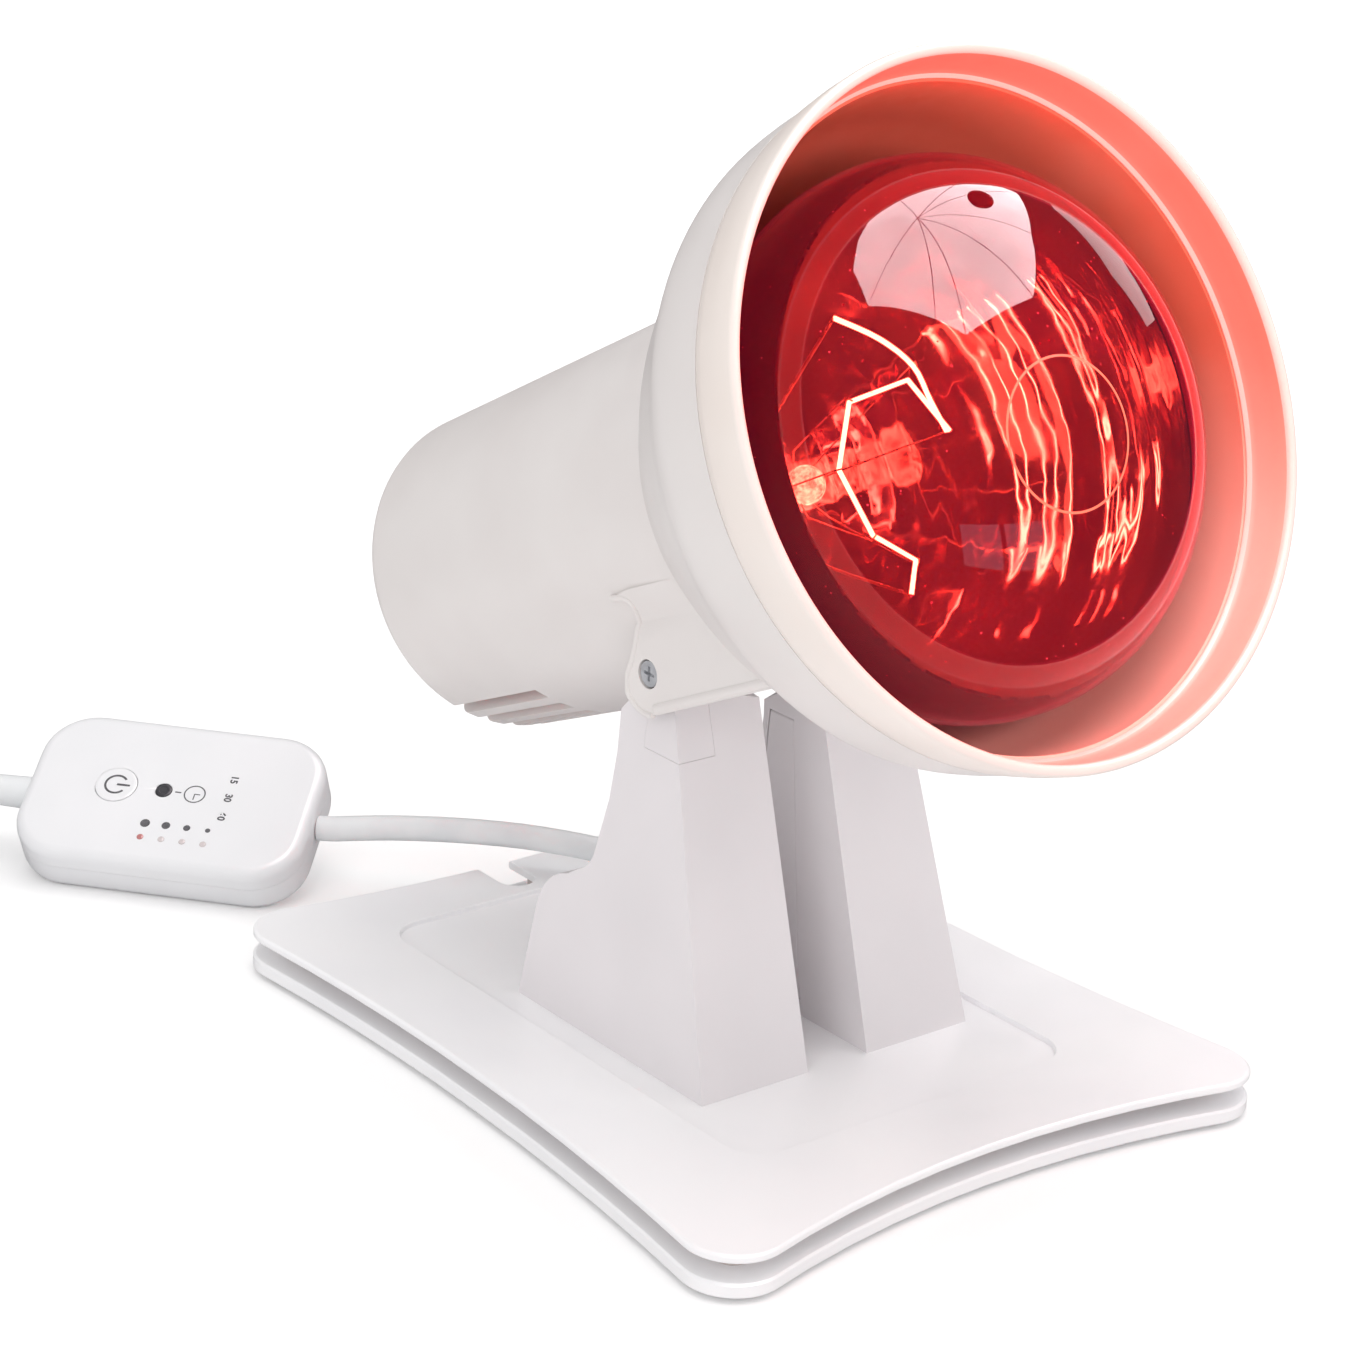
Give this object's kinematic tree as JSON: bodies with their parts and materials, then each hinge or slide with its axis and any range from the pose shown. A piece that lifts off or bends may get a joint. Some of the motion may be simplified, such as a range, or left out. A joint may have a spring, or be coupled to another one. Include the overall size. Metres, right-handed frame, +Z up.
{
  "type": "infrared heat therapy lamp",
  "caption": "Tabletop heat lamp with a red reflector bulb in a tilting bell-shaped head on two tapered uprights, a waisted base and an in-line controller.",
  "frame": {"origin": "on the standing surface, under the middle of the lamp's box without its cords and controller", "axes": "+Z up, the lamp faces -Y, +X to the right of someone who looks along +Y"},
  "size_m": [0.308, 0.357, 0.2483],
  "materials": {
    "shell": "warm light grey-white moulded plastic, fine texture",
    "base": "white moulded plastic, fine texture",
    "ring": "cream-white moulded plastic",
    "cord": "cool white flexible sheath, satin",
    "control": "cool white moulded plastic, satin",
    "steel": "zinc-plated steel",
    "brass": "bright",
    "cap": "rolled aluminium",
    "rubber": "dark rubber",
    "washer": "dark fibre",
    "liner": "heat-resisting satin coat",
    "ceramic": "glazed white ceramic",
    "red_glass": "red tinted clear glass",
    "coat": "vapour-coated mirror",
    "clear_glass": "clear glass",
    "wire": "bright nickel wire",
    "hot_wire": "glowing tungsten coil",
    "board": "green board",
    "black": "black moulding",
    "grey_key": "dark grey moulding",
    "led": "milky lens",
    "insulator": "black vitrite"
  },
  "bodies": {
    "stand": {"base_cover": "base", "base_core": "base", "base_tray": "base", "base_ballast": "steel", "rubber_feet": "rubber", "tray_screws": "steel", "upright_screws": "steel", "left_upright": "shell", "right_upright": "shell", "left_inner_cover": "shell", "right_inner_cover": "shell", "left_pivot_block": "shell", "right_pivot_block": "shell", "pivot_screws": "steel", "pivot_nuts": "steel", "friction_washers": "washer", "controller_top": "control", "controller_base": "control", "controller_screws": "steel", "circuit_board": "board", "tact_switches": "black", "level_leds": "led", "upright_relief": "cord", "lamp_lead": "cord", "mains_relief": "cord", "mains_lead": "cord", "mains_coil": "cord", "coil_tie": "cord", "mains_tail": "cord", "plug_body": "cord", "plug_pins": "brass"},
    "head": {"head_shell": "shell", "front_ring": "ring", "heat_liner": "liner", "holder_plate": "steel", "holder_screws": "steel", "lamp_holder": "ceramic", "holder_thread": "brass", "holder_contact": "brass", "bulb_glass": "red_glass", "bulb_mirror": "coat", "bulb_cap": "cap", "bulb_insulator": "insulator", "bulb_contact": "brass", "bulb_stem": "clear_glass", "lead_in_wires": "wire", "filament_supports": "wire", "filament": "hot_wire"},
    "power_key": {"power_button": "control"},
    "timer_key": {"timer_button": "grey_key"}
  },
  "joints": [
    {"name": "head_tilt", "type": "hinge", "parent": "stand", "child": "head", "pos_m": [0, -0.0087, 0.1043], "axis": [-1, 0, 0], "range_deg": [-30, 8]},
    {"name": "power_press", "type": "slide", "parent": "stand", "child": "power_key", "axis": [0.3659, 0.3181, -0.8746], "range_m": [0, 0.0006], "stiffness_N_per_m": 600, "springref_m": -0.001},
    {"name": "timer_press", "type": "slide", "parent": "stand", "child": "timer_key", "axis": [0.3659, 0.3181, -0.8746], "range_m": [0, 0.0006], "stiffness_N_per_m": 500, "springref_m": -0.001}
  ]
}
